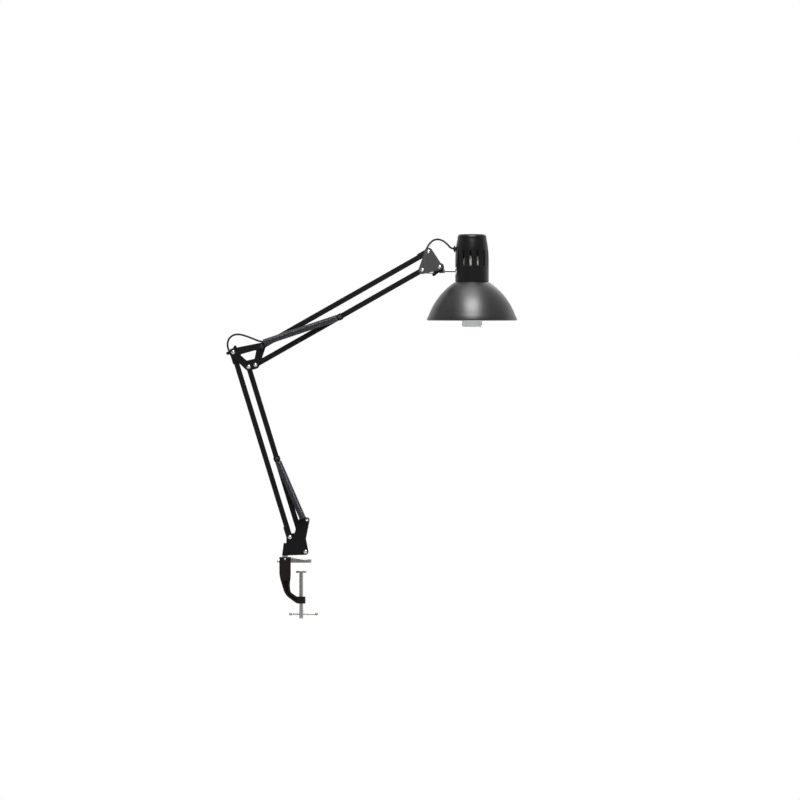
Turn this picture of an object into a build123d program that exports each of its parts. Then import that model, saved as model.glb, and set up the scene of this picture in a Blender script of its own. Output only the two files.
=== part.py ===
from build123d import *
import os
from math import asin, atan, cos, degrees, radians, sin, tan

# Architect desk lamp: a bench clamp, two sprung parallelogram arms and a shaded head.
# X runs from the clamp towards the head, Y across the arms and away from the viewer, Z up.
# The origin is on the clamp's desk face, on the axis of the clamp screw. Sizes are in mm.

# Fits
RUNNING_FIT = 0.05
SEAT_GAP = 0.2
SIDE_PLAY = 0.5
HAND_GAP = 0.4

# Clamp
THROAT_REACH = 19.7
THROAT_HEIGHT = 63.7
SPINE = 21.5
CLAMP_WIDTH = 24.0
CLAMP_TOP = 10.7
CLAMP_WEB = 6.0
CLAMP_RIM = 4.0
CLAMP_EDGE = 1.5
BOSS_R = 8.0
BOSS_HEIGHT = 13.2
KNEE_DEPTH = 36.0
JAW_REACH = 19.4
JAW_WIDTH = 22.0
JAW_TIP = 6.4
JAW_FLAT = 14.0
JAW_EDGE = 1.2
JAW_SCREW_R = 1.5
JAW_SCREW_HEAD_R = 3.25
JAW_SCREW_HEAD = 4.3
JAW_SCREW_GRIP = 13.0
JAW_SCREW_HEIGHT = 3.2
JAW_SCREW_SPREAD = 8.0
SET_SCREW_R = 2.2
SET_SCREW_HEIGHT = 7.2
SET_SCREW_PROUD = 1.3

# Clamp screw
SPINDLE_R = 4.0
SPINDLE_TIP_R = 3.0
SPINDLE_TIP = 1.8
SPINDLE_LENGTH = 86.0
DESK_GAP = 15.6
PAD_R = 10.0
PAD_THICKNESS = 3.4
PAD_EDGE = 0.8
TOMMY_R = 1.6
TOMMY_LENGTH = 54.4
TOMMY_BULB_R = 2.8
TOMMY_RISE = 8.6
TOMMY_SHIFT = 4.2

# Sheet metal brackets and their pivots
SHEET = 1.5
TUBE = 10.0
TUBE_WALL = 1.0
TUBE_EDGE = 1.2
PIVOT_R = 2.0
PIVOT_HEAD_R = 3.9
PIVOT_HEAD = 2.2
WASHER_R = 4.6
WASHER = 0.4
EYE_R = 7.5

# Base bracket
SPIGOT_R = 5.0
SPIGOT_LENGTH = 36.0
NECK_R = 5.65
NECK_HEIGHT = 2.6
STUB_R = 2.8
STUB_HEAD_R = 3.7
STUB_HEAD = 2.0
BASE_EYE_R = 6.8
BASE_TOE_R = 5.8
WEB_RISE = 23.5
WEB_LEAN = 3.0
EAR_R = 4.9
EAR_HOLE_R = 2.25
WAIST_R = 12.0
LOWER_PIVOT = Vector(-21.2, 47.9)
BASE_LINK = Vector(29.1, -27.4)
SPRING_EAR = Vector(3.0, 59.8)
EAR_SHOULDER = Vector(-8.8, 57.5)
WAIST = Vector(-11.2, 24.5)

# Arms, pivot to pivot, in the stored pose
LOWER_ARM_LENGTH = 363.8
LOWER_LEAN_ANGLE = 17.07
UPPER_ARM_LENGTH = 361.1
UPPER_RISE_ANGLE = 29.6
ELBOW_STEP = Vector(12.8, 3.6)
HEAD_LINK = Vector(11.7, 34.4)
WINDOW_INSETS = (Vector(12.9, -4.3), Vector(-3.6, 11.8), Vector(-1.7, 11.6), Vector(-10.0, -6.4))
WINDOW_CORNER_R = 1.5

# Springs
SPRING_R = 6.3
SPRING_WIRE = 1.3
SPRING_CLEARANCE = 0.8
SPRING_ANCHOR_LENGTH = 183.0
SPRING_TAIL = 6.0
CLIP_LENGTH = 8.0
CLIP_WALL = 1.3
SPRING_PIN_R = 1.5
SPRING_PIN_HEAD_R = 2.4
SPRING_PIN_HEAD = 1.2
SPRING_PIN_END = 1.6
EYE_PLAY = 0.3

# Lead
LEAD = 3.6
LEAD_PLAY = 0.4
OUTLET_LENGTH = 20.0
OUTLET_WIDTH = 7.4
OUTLET_PROUD = 1.7
OUTLET_END = 2.0
OUTLET_LIP = 2.0
TUBE_SLOT = 21.0

# Route of the lead: (along the arm, out from its axis) in the tubes, points from P1 and H2 in the loops
LOWER_LEAD_ENTRY = (34.0, 0.0)
LOWER_LEAD_BEND = (31.0, 0.0)
LOWER_LEAD_EXIT = (10.0, 4.2)
LOWER_LEAD_LIP = (3.0, 6.8)
ELBOW_LOOP_POINTS = (
    Vector(-11.2, 12.8), Vector(-9.2, 24.3), Vector(-1.0, 32.3),
    Vector(10.5, 34.3), Vector(24.0, 30.6), Vector(37.0, 25.7),
)
UPPER_LEAD_LIP = (3.0, 8.4)
UPPER_LEAD_ENTRY = (15.0, 1.7)
UPPER_LEAD_BEND = (18.5, -0.254)
UPPER_LEAD_RISE = (21.0, -0.57)
UPPER_LEAD_EXIT = (15.0, 1.2)
HEAD_LEAD_LIP = (4.5, 4.3)
HEAD_LOOP_POINTS = (
    Vector(-0.2, 12.8), Vector(6.9, 21.0), Vector(16.0, 24.0), Vector(25.9, 21.6), Vector(35.4, 14.2),
)
GROMMET_RUN = 8.5
HOLDER_LEAD_BEND = 18.0
HOLDER_LEAD_REACH = 5.0
HOLDER_LEAD_DROP = 5.6

# Elbow knob and tilt lever
KNOB_LOBES = 3
KNOB_HUB_R = 6.5
KNOB_HEIGHT = 8.5
KNOB_REACH = 13.5
LOBE = 6.0
KNOB_EDGE = 1.2
KNOB_TURN = 70.0
LEVER_HUB_R = 8.0
LEVER_REACH = 18.0
LEVER_TURN = 231.0

# Head joint
TILT_OFFSET = Vector(32.7, 5.6)
HEAD_WEB_START = 7.5
HEAD_WEB_END = 9.0
HEAD_WEB_DROP = 6.0
TONGUE_PLAY = 0.3
TONGUE_R = 7.4
TILT_EYE_R = 5.6
ROD_R = 2.4
ROD_DROP = 7.1
ROD_BOSS_R = 4.4
ROD_BOSS_START = 1.0
ROD_BOSS_END = 5.8
ROD_NUT_R = 4.4
ROD_NUT = 3.4
LOCK_NUT_R = 4.0
LOCK_NUT = 3.6
BUSH_SEAT = 3.2
BUSH_R = 6.2
BUSH_DOME = 3.2
BUSH_BARREL_R = 4.0
BUSH_TAIL = 1.5

# Lamp head, heights from the seam between shade and housing
HEAD_REACH = 60.5
ROD_HEIGHT = 19.8
HOUSING_R = 31.6
HOUSING_WALL = 2.0
HOUSING_STRAIGHT = 40.0
HOUSING_SEAM = 80.4
HOUSING_SEAM_R = 27.3
HOUSING_BULGE = 1.1
HOUSING_FLOOR = 2.0
CAP_HEIGHT = 8.6
CAP_TOP_R = 20.6
CAP_WALL = 2.2
CAP_SPIGOT = 5.0
CAP_DISH = 4.2
CAP_DISH_R = 15.5
CAP_DISH_EDGE = 1.2
VENT_COUNT = 14
VENT_TURN = 264.7
VENT_WIDTH = 3.5
VENT_LOW = 29.5
VENT_HIGH = 58.9
VENT_KEEP_CLEAR = 13.0
ARM_SIDE = 180.0
GROMMET_HEIGHT = 61.1
GROMMET_R = 6.4
GROMMET_NECK_R = 3.4
GROMMET_PROUD = 3.6
GROMMET_TAIL = 2.0
SHADE_RIM_R = 85.0
SHADE_DEPTH = 73.5
SHADE_SKIRT_R = 81.0
SHADE_SKIRT = 10.9
SHADE_CHEST_R = 59.0
SHADE_CHEST = 25.0
SHADE_TOP_R = 30.2
SHADE_WALL = 1.2
HOLDER_R = 19.4
HOLDER_BODY_R = 20.0
HOLDER_COLLAR_R = 23.0
HOLDER_COLLAR = 3.0
HOLDER_DROP = 8.5
HOLDER_RISE = 48.0
HOLDER_SHOULDER = 36.0
HOLDER_TOP_R = 13.0
HOLDER_MOUTH_R = 17.2
RING_R = 24.5
RING = 5.5
RING_EDGE = 0.6
LAMP_R = 18.75
LAMP_DROP = 85.7
LAMP_EDGE = 3.5
LAMP_NECK_R = 14.0
LAMP_NECK = 22.0
LAMP_CAP_R = 13.2
LAMP_CAP = 24.0
LAMP_CONTACT_R = 4.5
LAMP_CONTACT = 2.4
SOCKET_PLAY = 0.4
SWITCH_LENGTH = 19.0
SWITCH_WIDTH = 13.0
SWITCH_RIM = 1.5
SWITCH_BEZEL = 1.2
SWITCH_DEPTH = 14.0
ROCKER_THROW = 14.0
ROCKER_PIVOT_R = 1.5
ROCKER_CROWN = 3.0
ROCKER_DEPTH = 4.0


def polar(length, angle):
    """Vector of the given length and direction in the side view."""
    return Vector(length * cos(radians(angle)), length * sin(radians(angle)))


# Places that follow from the sizes, in the side view (x, z)
LOWER_ANGLE = 90 + LOWER_LEAN_ANGLE
PLATE_IN = TUBE / 2 + SIDE_PLAY
PLATE_OUT = PLATE_IN + SHEET
SPRING_Y = PLATE_OUT + SPRING_CLEARANCE + SPRING_R
PIN_REACH = SPRING_Y + SPRING_PIN_END
SPIGOT_X = -THROAT_REACH - SPINE / 2
BASE_FLOOR = CLAMP_TOP + SEAT_GAP + NECK_HEIGHT
A1 = LOWER_PIVOT
A2 = A1 + BASE_LINK
EAR = A2 + SPRING_EAR
P1 = A1 + polar(LOWER_ARM_LENGTH, LOWER_ANGLE)
P2 = P1 + BASE_LINK
P3 = P2 + ELBOW_STEP
P4 = P3 + HEAD_LINK
H1 = P3 + polar(UPPER_ARM_LENGTH, UPPER_RISE_ANGLE)
H2 = H1 + HEAD_LINK
TILT = H1 + TILT_OFFSET
ROD_Z = TILT.Y - ROD_DROP
HEAD_X = TILT.X + HEAD_REACH
HEAD_Z = ROD_Z - ROD_HEIGHT
SWITCH_HEIGHT = HOUSING_SEAM + CAP_HEIGHT - CAP_DISH
LOWER_CLIP = A2 + polar(SPRING_ANCHOR_LENGTH, LOWER_ANGLE)
UPPER_CLIP = P3 + polar(SPRING_ANCHOR_LENGTH, UPPER_RISE_ANGLE)
SIDES = (-1, 1)
UPWARD = (Align.CENTER, Align.CENTER, Align.MIN)
DOWNWARD = (Align.CENTER, Align.CENTER, Align.MAX)


def disc(at, radius):
    """Circle in the side view."""
    return Pos(at.X, at.Y) * Circle(radius)


def hull(*discs):
    """Outline stretched round a few discs."""
    return make_hull([shape.edge() for shape in discs])


def slab(outline, near, far):
    """A side-view outline, solid from Y = near to Y = far."""
    return extrude(Plane.XZ.offset(-far) * outline, far - near)


def both_sides(outline, near, far):
    """The same slab in front of the middle plane and behind it."""
    return slab(outline, -far, -near) + slab(outline, near, far)


def cross_hole(at, radius):
    """Round cutter through the whole width at a side-view point."""
    return slab(disc(at, radius), -PIN_REACH, PIN_REACH)


def on_arm(pivot, angle, piece):
    """Move a piece drawn along +X, with its outer side up, to an arm."""
    return Pos(pivot.X, 0, pivot.Y) * Rot(0, -angle, 0) * piece


def spot(pivot, angle, along, out):
    """Side-view point at a distance along an arm and out from its axis."""
    place = pivot + polar(along, angle) + polar(out, angle + 90)
    return (place.X, 0, place.Y)


def domed(radius, height, start):
    """Half outline of a domed head that begins at Y = start, drawn as (radius, Y)."""
    top = start + height
    sphere = (radius**2 + height**2) / (2 * height)
    half = asin(min(1.0, radius / sphere)) / 2
    crown = (sphere * sin(half), top - sphere * (1 - cos(half)))
    arc = ThreePointArc((radius, start), crown, (0, top))
    return make_face([arc, Line((0, top), (0, start)), Line((0, start), (radius, start))])


def pivot_pin(at, far_head=True, reach=PLATE_OUT):
    """Rivet or bolt across a bracket with a domed head in front."""
    dome = revolve(domed(PIVOT_HEAD_R, PIVOT_HEAD, PLATE_OUT), Axis.Y)
    pin = mirror(dome, Plane.XZ) + slab(Circle(PIVOT_R), -PLATE_OUT, reach)
    if far_head:
        pin += dome
    return Pos(at.X, 0, at.Y) * pin


def pivot_washers(*pivots):
    """Thin washers between the bracket plates and the tubes."""
    rings = []
    for at in pivots:
        ring = disc(at, WASHER_R) - disc(at, PIVOT_R + RUNNING_FIT)
        for side in SIDES:
            near, far = sorted((side * PLATE_IN, side * (PLATE_IN - WASHER)))
            rings.append(slab(ring, near, far))
    return rings


def rounded(*corners):
    """Polygon from (x, y, radius) corners."""
    face = Polygon(*[corner[:2] for corner in corners], align=None)
    for x, y, radius in corners:
        if radius:
            face = fillet(face.vertices().sort_by_distance((x, y, 0))[0], radius)
    return face


def clamp_outline():
    """Side view of the cast C frame: spine, curved knee and the boss for the clamp screw."""
    outer = -THROAT_REACH - SPINE
    inner = -THROAT_REACH
    floor = -THROAT_HEIGHT
    foot = floor - BOSS_HEIGHT
    return rounded(
        (inner, CLAMP_TOP, 0), (outer, CLAMP_TOP, 0), (outer, -KNEE_DEPTH * 0.68, 60),
        (outer + SPINE / 2, floor + 3, 30), (-BOSS_R, foot, 12), (BOSS_R, foot, 0),
        (BOSS_R, floor, 0), (-BOSS_R, floor, 3), (inner - 0.3, floor + 8, 8),
        (inner - SPINE * 0.09, -KNEE_DEPTH * 1.2, 40), (inner, -KNEE_DEPTH * 0.7, 40),
    )


def clamp_frame():
    """Cast C frame with pocketed sides, spigot socket and threaded boss."""
    outline = clamp_outline()
    half = CLAMP_WIDTH / 2
    body = slab(outline, -half, half)
    body = fillet(body.faces().filter_by(Axis.Y).edges(), CLAMP_EDGE)
    socket_floor = CLAMP_TOP - SPIGOT_LENGTH - 2 * CLAMP_RIM
    depth = THROAT_HEIGHT + BOSS_HEIGHT + CLAMP_TOP
    corners = [(-THROAT_REACH - SPINE, half), (-THROAT_REACH, half)]
    plan = [Line(corner, (corner[0], -corner[1])).edge() for corner in corners]
    shadow = make_hull(plan + [Circle(BOSS_R).edge()])
    body &= extrude(Plane.XY.offset(CLAMP_TOP - depth) * shadow, depth)
    reach = THROAT_REACH + SPINE - BOSS_R
    window = Pos(-BOSS_R - reach / 2, socket_floor - depth / 2) * Rectangle(reach, depth)
    pocket = offset(outline, -CLAMP_RIM) & window
    body -= both_sides(pocket, CLAMP_WEB / 2, half + CLAMP_RIM)
    socket = Cylinder(SPIGOT_R + RUNNING_FIT, SPIGOT_LENGTH + SEAT_GAP, align=DOWNWARD)
    body -= Pos(SPIGOT_X, 0, CLAMP_TOP) * socket
    body -= Pos(0, 0, -THROAT_HEIGHT) * Cylinder(SPINDLE_R + RUNNING_FIT, 3 * BOSS_HEIGHT)
    for side in SIDES:
        hole = Rot(0, 90, 0) * Cylinder(JAW_SCREW_R + RUNNING_FIT, SPINE + CLAMP_EDGE)
        body -= Pos(SPIGOT_X, side * JAW_SCREW_SPREAD, JAW_SCREW_HEIGHT) * hole
    body -= slab(disc(Vector(SPIGOT_X, SET_SCREW_HEIGHT), SET_SCREW_R), -half, 0)
    return body


def upper_jaw():
    """Wedge-shaped jaw with a flat desk face and a round tip."""
    root = -THROAT_REACH
    profile = Polygon(
        (root, 0), (JAW_REACH, 0), (JAW_REACH, JAW_TIP), (JAW_REACH - JAW_FLAT, JAW_TIP), (root, CLAMP_TOP),
        align=None,
    )
    half = JAW_WIDTH / 2
    tip = JAW_REACH - half
    plan = Pos(root, 0) * Rectangle(tip - root, JAW_WIDTH, align=(Align.MIN, Align.CENTER))
    plan += Pos(tip, 0) * Circle(half)
    jaw = slab(profile, -half, half) & extrude(plan, CLAMP_TOP)
    top = jaw.faces().filter_by(lambda face: face.normal_at().Z > 0.5)
    front = [edge for edge in top.edges() if edge.center().X > root + JAW_EDGE]
    jaw = fillet([edge for edge in front if abs(edge.center().Y) > half / 2], JAW_EDGE)
    for side in SIDES:
        bore = Rot(0, 90, 0) * Cylinder(JAW_SCREW_R + RUNNING_FIT, 2 * JAW_SCREW_GRIP)
        jaw -= Pos(root, side * JAW_SCREW_SPREAD, JAW_SCREW_HEIGHT) * bore
    return jaw


def jaw_screws():
    """Two pan-head screws that pull the jaw against the spine."""
    back = -THROAT_REACH - SPINE
    head = revolve(
        Polygon((0, 0), (-JAW_SCREW_HEAD, 0), (-JAW_SCREW_HEAD, JAW_SCREW_HEAD_R * 0.7),
                (-JAW_SCREW_HEAD * 0.6, JAW_SCREW_HEAD_R), (0, JAW_SCREW_HEAD_R), align=None),
        Axis.X,
    )
    shank = SPINE + JAW_SCREW_GRIP - SEAT_GAP
    screw = head + Rot(0, 90, 0) * Cylinder(JAW_SCREW_R, shank, align=UPWARD)
    return [Pos(back, side * JAW_SCREW_SPREAD, JAW_SCREW_HEIGHT) * screw for side in SIDES]


def spigot_set_screw():
    """Domed set screw that bears on the spigot."""
    front = CLAMP_WIDTH / 2
    barrel = slab(Circle(SET_SCREW_R - RUNNING_FIT), -front, -SPIGOT_R - SEAT_GAP)
    dome = mirror(revolve(domed(SET_SCREW_R - RUNNING_FIT, SET_SCREW_PROUD, front), Axis.Y), Plane.XZ)
    return Pos(SPIGOT_X, 0, SET_SCREW_HEIGHT) * (barrel + dome)


def pressure_pad():
    """Round pad with a socket for the tip of the clamp screw."""
    disc_body = Cylinder(PAD_R, PAD_THICKNESS, align=DOWNWARD)
    disc_body = chamfer(disc_body.faces().sort_by(Axis.Z)[-1].edges(), PAD_EDGE)
    socket = Cylinder(SPINDLE_TIP_R + RUNNING_FIT, SPINDLE_TIP + RUNNING_FIT,
                      align=UPWARD)
    return Pos(0, 0, -DESK_GAP) * (disc_body - Pos(0, 0, -PAD_THICKNESS) * socket)


def clamp_spindle():
    """Clamp screw with a reduced tip and a cross hole for the tommy bar."""
    top = -DESK_GAP - PAD_THICKNESS - SEAT_GAP
    profile = Polygon(
        (0, SEAT_GAP + SPINDLE_TIP), (SPINDLE_TIP_R, SEAT_GAP + SPINDLE_TIP), (SPINDLE_TIP_R, 0),
        (SPINDLE_R, 0), (SPINDLE_R, -SPINDLE_LENGTH + PAD_EDGE), (SPINDLE_R - PAD_EDGE, -SPINDLE_LENGTH),
        (0, -SPINDLE_LENGTH), align=None,
    )
    screw = revolve(Plane.XZ * profile, Axis.Z)
    hole = Rot(0, 90, 0) * Cylinder(TOMMY_R + RUNNING_FIT, 3 * SPINDLE_R)
    return Pos(0, 0, top) * (screw - Pos(0, 0, TOMMY_RISE - SPINDLE_LENGTH) * hole)


def tommy_bar():
    """Sliding bar with a bulb on each end."""
    half = TOMMY_LENGTH / 2 - TOMMY_BULB_R
    bar = Rot(0, 90, 0) * Cylinder(TOMMY_R, 2 * half)
    for side in SIDES:
        bar += Pos(side * half, 0, 0) * Sphere(TOMMY_BULB_R)
    height = -DESK_GAP - PAD_THICKNESS - SEAT_GAP - SPINDLE_LENGTH + TOMMY_RISE
    return Pos(TOMMY_SHIFT, 0, height) * bar


def base_plate():
    """Side of the base bracket: foot over the spigot, pivot eyes, waist and spring ear."""
    left = SPIGOT_X - NECK_R
    top = BASE_FLOOR + WEB_RISE
    foot = Line((left, BASE_FLOOR), (left + WEB_LEAN, top))
    waist = disc(A2 + WAIST, WAIST_R)
    plate = hull(foot, disc(A1, BASE_EYE_R), disc(A2, BASE_TOE_R), waist)
    plate += hull(waist, disc(EAR, EAR_R), disc(A2 + EAR_SHOULDER, EAR_R))
    step = Rectangle(2 * NECK_R, A1.Y - BASE_FLOOR, align=(Align.MAX, Align.MIN))
    plate -= Pos(A1.X - BASE_EYE_R, top) * step
    for at in (A1, A2):
        plate -= disc(at, PIVOT_R + RUNNING_FIT)
    return plate - disc(EAR, EAR_HOLE_R)


def base_bracket():
    """Folded base bracket: two sides, the web behind and a tab over the neck."""
    left = SPIGOT_X - NECK_R
    bracket = both_sides(base_plate(), PLATE_IN, PLATE_OUT)
    web = Polygon(
        (left, BASE_FLOOR), (left + SHEET, BASE_FLOOR), (left + SHEET + WEB_LEAN, BASE_FLOOR + WEB_RISE),
        (left + WEB_LEAN, BASE_FLOOR + WEB_RISE), align=None,
    )
    bracket += slab(web, -PLATE_OUT, PLATE_OUT)
    tab = Pos(left, BASE_FLOOR) * Rectangle(2 * NECK_R, SHEET, align=(Align.MIN, Align.MIN))
    bracket += slab(tab, -PLATE_OUT, PLATE_OUT)
    hole = Cylinder(STUB_R + RUNNING_FIT, 4 * SHEET)
    return bracket - Pos(SPIGOT_X, 0, BASE_FLOOR) * hole


def swivel_spigot():
    """Turned spigot: pin for the clamp, neck and a stub peened over the tab."""
    head = BASE_FLOOR + SHEET
    low = CLAMP_TOP - SPIGOT_LENGTH
    neck = CLAMP_TOP + SEAT_GAP
    profile = Polygon(
        (0, low), (SPIGOT_R, low), (SPIGOT_R, neck), (NECK_R, neck), (NECK_R, BASE_FLOOR),
        (STUB_R, BASE_FLOOR), (STUB_R, head), (STUB_HEAD_R, head), (STUB_HEAD_R * 0.6, head + STUB_HEAD),
        (0, head + STUB_HEAD), align=None,
    )
    return Pos(SPIGOT_X, 0, 0) * revolve(Plane.XZ * profile, Axis.Z)


def arm_tube(length, slotted=False, pinned=False):
    """Square tube along +X with round ends, pivot holes and the cuts that it needs."""
    half = TUBE / 2
    bore = TUBE - 2 * TUBE_WALL
    tube = slab(Pos(length / 2, 0) * SlotCenterToCenter(length, TUBE), -half, half)
    tube = fillet(tube.faces().filter_by(Axis.Y).edges(), TUBE_EDGE)
    tube -= Pos(length / 2, 0, 0) * Box(length + 2 * TUBE, bore, bore)
    ends = (Vector(0, 0), Vector(length, 0))
    for at in ends:
        tube -= cross_hole(at, PIVOT_R + RUNNING_FIT)
    if slotted:
        cut = Box(TUBE_SLOT + half, LEAD + 2 * LEAD_PLAY, TUBE, align=(Align.MIN, Align.CENTER, Align.MIN))
        tube -= Pos(-half, 0, 0) * cut
        tube -= Pos(length - TUBE_SLOT, 0, 0) * cut
    if pinned:
        tube -= cross_hole(Vector(SPRING_ANCHOR_LENGTH, 0), SPRING_PIN_R + RUNNING_FIT)
    return tube


def lead_outlets(length):
    """Moulded bezels round the slots where the lead leaves a tube."""
    plate = Box(OUTLET_LENGTH, OUTLET_WIDTH, OUTLET_PROUD, align=(Align.MIN, Align.CENTER, Align.MIN))
    plate = fillet(plate.edges().filter_by(Axis.Z), OUTLET_LIP / 2)
    top = plate.faces().sort_by(Axis.Z)[-1]
    plate = chamfer(top.edges(), OUTLET_PROUD / 2)
    slot = Box(OUTLET_LENGTH, LEAD + 2 * LEAD_PLAY, 3 * OUTLET_PROUD)
    plate -= Pos(OUTLET_LENGTH / 2 - OUTLET_LIP, 0, 0) * slot
    start = Pos(OUTLET_END, 0, TUBE / 2) * plate
    return [start, Pos(length, 0, 0) * mirror(start, Plane.YZ)]


def spring_clip(pivot, angle):
    """Sleeve round a tube at the spring anchor."""
    outer = TUBE + 2 * CLIP_WALL
    sleeve = Box(CLIP_LENGTH, outer, outer) - Box(2 * CLIP_LENGTH, TUBE, TUBE)
    sleeve = fillet(sleeve.edges().filter_by(Axis.X).group_by(SortBy.DISTANCE)[-1], CLIP_WALL)
    sleeve -= cross_hole(Vector(0, 0), SPRING_PIN_R + RUNNING_FIT)
    return on_arm(pivot, angle, Pos(SPRING_ANCHOR_LENGTH, 0, 0) * sleeve)


def headed_pin(at, radius):
    """Cross pin with small heads that keep the spring eyes on."""
    pin = slab(disc(at, radius), -PIN_REACH, PIN_REACH)
    head = disc(at, radius + SPRING_PIN_HEAD_R - SPRING_PIN_R)
    return pin + both_sides(head, PIN_REACH, PIN_REACH + SPRING_PIN_HEAD)


def spring_eye(pin_radius):
    """Wire eye round a pin that lies along Y at the origin."""
    return Rot(90, 0, 0) * Torus(pin_radius + EYE_PLAY + SPRING_WIRE / 2, SPRING_WIRE / 2)


def spring_coil(start, end, start_pin_r):
    """Close-wound tension spring along +X with a side hook at its start and a centre hook at its end."""
    span = (end - start).length
    body = span - 2 * SPRING_TAIL
    rim = SPRING_R - 0.4 * SPRING_WIRE
    lean = degrees(atan(rim / body))
    coil = Cylinder(SPRING_R, body) - Cylinder(SPRING_R - SPRING_WIRE, span)
    spring = Pos(span / 2, 0, rim / 2) * Rot(0, 90 + lean, 0) * coil
    wire = SPRING_WIRE / 2
    spring += Pos(span - SPRING_TAIL, 0, 0) * Cylinder(wire, rim, align=UPWARD)
    for eye_x, turn, pin_r in ((0, 90, start_pin_r), (span, -90, SPRING_PIN_R)):
        gap = 0 if pin_r is None else pin_r + EYE_PLAY + wire
        tail = Cylinder(wire, SPRING_TAIL + SPRING_WIRE - gap, align=UPWARD)
        spring += Pos(eye_x, 0, 0) * Rot(0, turn, 0) * Pos(0, 0, gap) * tail
        if pin_r is not None:
            spring += Pos(eye_x, 0, 0) * spring_eye(pin_r)
    return spring


def spring_pair(start, end, start_pin_r):
    """Near and far springs between two anchors; without a start pin the end hooks inwards."""
    line = end - start
    angle = degrees(asin(line.Y / line.length))
    angle = angle if line.X > 0 else 180 - angle
    coil = spring_coil(start, end, start_pin_r)
    pair = []
    for side in SIDES:
        spring = Pos(0, side * SPRING_Y, 0) * coil
        if start_pin_r is None:
            hook = slab(Circle(SPRING_WIRE / 2), PLATE_IN, SPRING_Y + SPRING_WIRE / 2)
            spring += hook if side > 0 else mirror(hook, Plane.XZ)
        pair.append(on_arm(start, angle, spring))
    return pair


def elbow_outline():
    """Elbow plate: rim round the four pivots with an open window."""
    pivots = (P1, P2, P3, P4)
    corners = [at + inset for at, inset in zip(pivots, WINDOW_INSETS)]
    window = Polygon(*[(at.X, at.Y) for at in corners], align=None)
    plate = hull(*[disc(at, EYE_R) for at in pivots]) - fillet(window.vertices(), WINDOW_CORNER_R)
    for at in pivots:
        plate -= disc(at, PIVOT_R + RUNNING_FIT)
    return plate


def elbow_plate(side):
    """One stamped elbow plate, in front (-1) or behind (1)."""
    near, far = sorted((side * PLATE_IN, side * PLATE_OUT))
    return slab(elbow_outline(), near, far)


def lobed_knob():
    """Moulded knob with three lobes on the elbow bolt."""
    low = PLATE_OUT + SEAT_GAP
    centre = Vector(0, 0)
    knob = slab(disc(centre, KNOB_HUB_R), low, low + KNOB_HEIGHT)
    for index in range(KNOB_LOBES):
        tip = polar(KNOB_REACH - LOBE / 2, KNOB_TURN + index * 360 / KNOB_LOBES)
        lobe = hull(disc(centre, LOBE / 2), disc(tip, LOBE / 2))
        knob += slab(lobe, low + KNOB_HEIGHT / 4, low + KNOB_HEIGHT)
    knob = fillet(knob.faces().sort_by(Axis.Y)[-1].edges(), KNOB_EDGE)
    return Pos(P1.X, 0, P1.Y) * (knob - cross_hole(centre, PIVOT_R + RUNNING_FIT))


def tilt_lever():
    """Lever nut on the tilt bolt."""
    low = PLATE_OUT + SEAT_GAP
    tip = polar(LEVER_REACH, LEVER_TURN)
    centre = Vector(0, 0)
    hub = slab(disc(centre, LEVER_HUB_R), low, low + KNOB_HEIGHT)
    blade = hull(disc(centre, LEVER_HUB_R - KNOB_EDGE), disc(tip, LOBE / 2))
    arm = slab(blade, low + KNOB_HEIGHT / 4, low + KNOB_HEIGHT)
    lever = fillet((hub + arm).faces().sort_by(Axis.Y)[-1].edges(), KNOB_EDGE)
    return Pos(TILT.X, 0, TILT.Y) * (lever - cross_hole(centre, PIVOT_R + RUNNING_FIT))


def head_bracket():
    """Folded triangular bracket between the upper arm and the tilt block."""
    pivots = (H1, H2, TILT)
    plate = hull(disc(H1, EYE_R), disc(H2, EYE_R), disc(TILT, TILT_EYE_R))
    for at in pivots:
        plate -= disc(at, PIVOT_R + RUNNING_FIT)
    bracket = both_sides(plate, PLATE_IN, PLATE_OUT)
    start = H1.X + HEAD_WEB_START
    web = Pos(start, H1.Y - HEAD_WEB_DROP) * Rectangle(
        TILT.X - HEAD_WEB_END - start, SHEET, align=(Align.MIN, Align.CENTER)
    )
    return bracket + slab(web, -PLATE_OUT, PLATE_OUT)


def tilt_block():
    """Tongue between the bracket plates, with a boss for the swivel rod and a flat for its lock nut."""
    half = PLATE_IN - TONGUE_PLAY
    boss_start = TILT.X + ROD_BOSS_START
    boss_length = ROD_BOSS_END - ROD_BOSS_START
    cheek = hull(disc(TILT, TONGUE_R), disc(Vector(TILT.X + ROD_BOSS_START, ROD_Z), ROD_BOSS_R))
    block = slab(cheek, -half, half)
    boss = Rot(0, 90, 0) * Cylinder(ROD_BOSS_R, boss_length, align=UPWARD)
    block += Pos(boss_start, 0, ROD_Z) * boss
    flat = Box(TONGUE_R, 2 * half, 2 * ROD_BOSS_R, align=(Align.MIN, Align.CENTER, Align.CENTER))
    block -= Pos(TILT.X + ROD_BOSS_END, 0, ROD_Z) * flat
    block -= cross_hole(TILT, PIVOT_R + RUNNING_FIT)
    bore = Rot(0, 90, 0) * Cylinder(ROD_R + RUNNING_FIT, boss_length, align=UPWARD)
    return block - Pos(boss_start, 0, ROD_Z) * bore


def rod_end():
    """X where the swivel rod stops inside the housing."""
    return HEAD_X - HOUSING_R + BUSH_SEAT + HOUSING_WALL + BUSH_TAIL + SEAT_GAP + ROD_NUT


def swivel_rod():
    """Bright rod from the tilt block into the housing."""
    start = TILT.X + ROD_BOSS_START
    rod = Rot(0, 90, 0) * Cylinder(ROD_R, rod_end() - start, align=UPWARD)
    return Pos(start, 0, ROD_Z) * rod


def hex_nut(right, corner_r, thickness):
    """Hexagon nut on the swivel rod, with its right face at X = right."""
    ring = RegularPolygon(corner_r, 6) - Circle(ROD_R + RUNNING_FIT)
    return Pos(right, 0, ROD_Z) * Rot(0, -90, 0) * extrude(ring, thickness)


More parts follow.
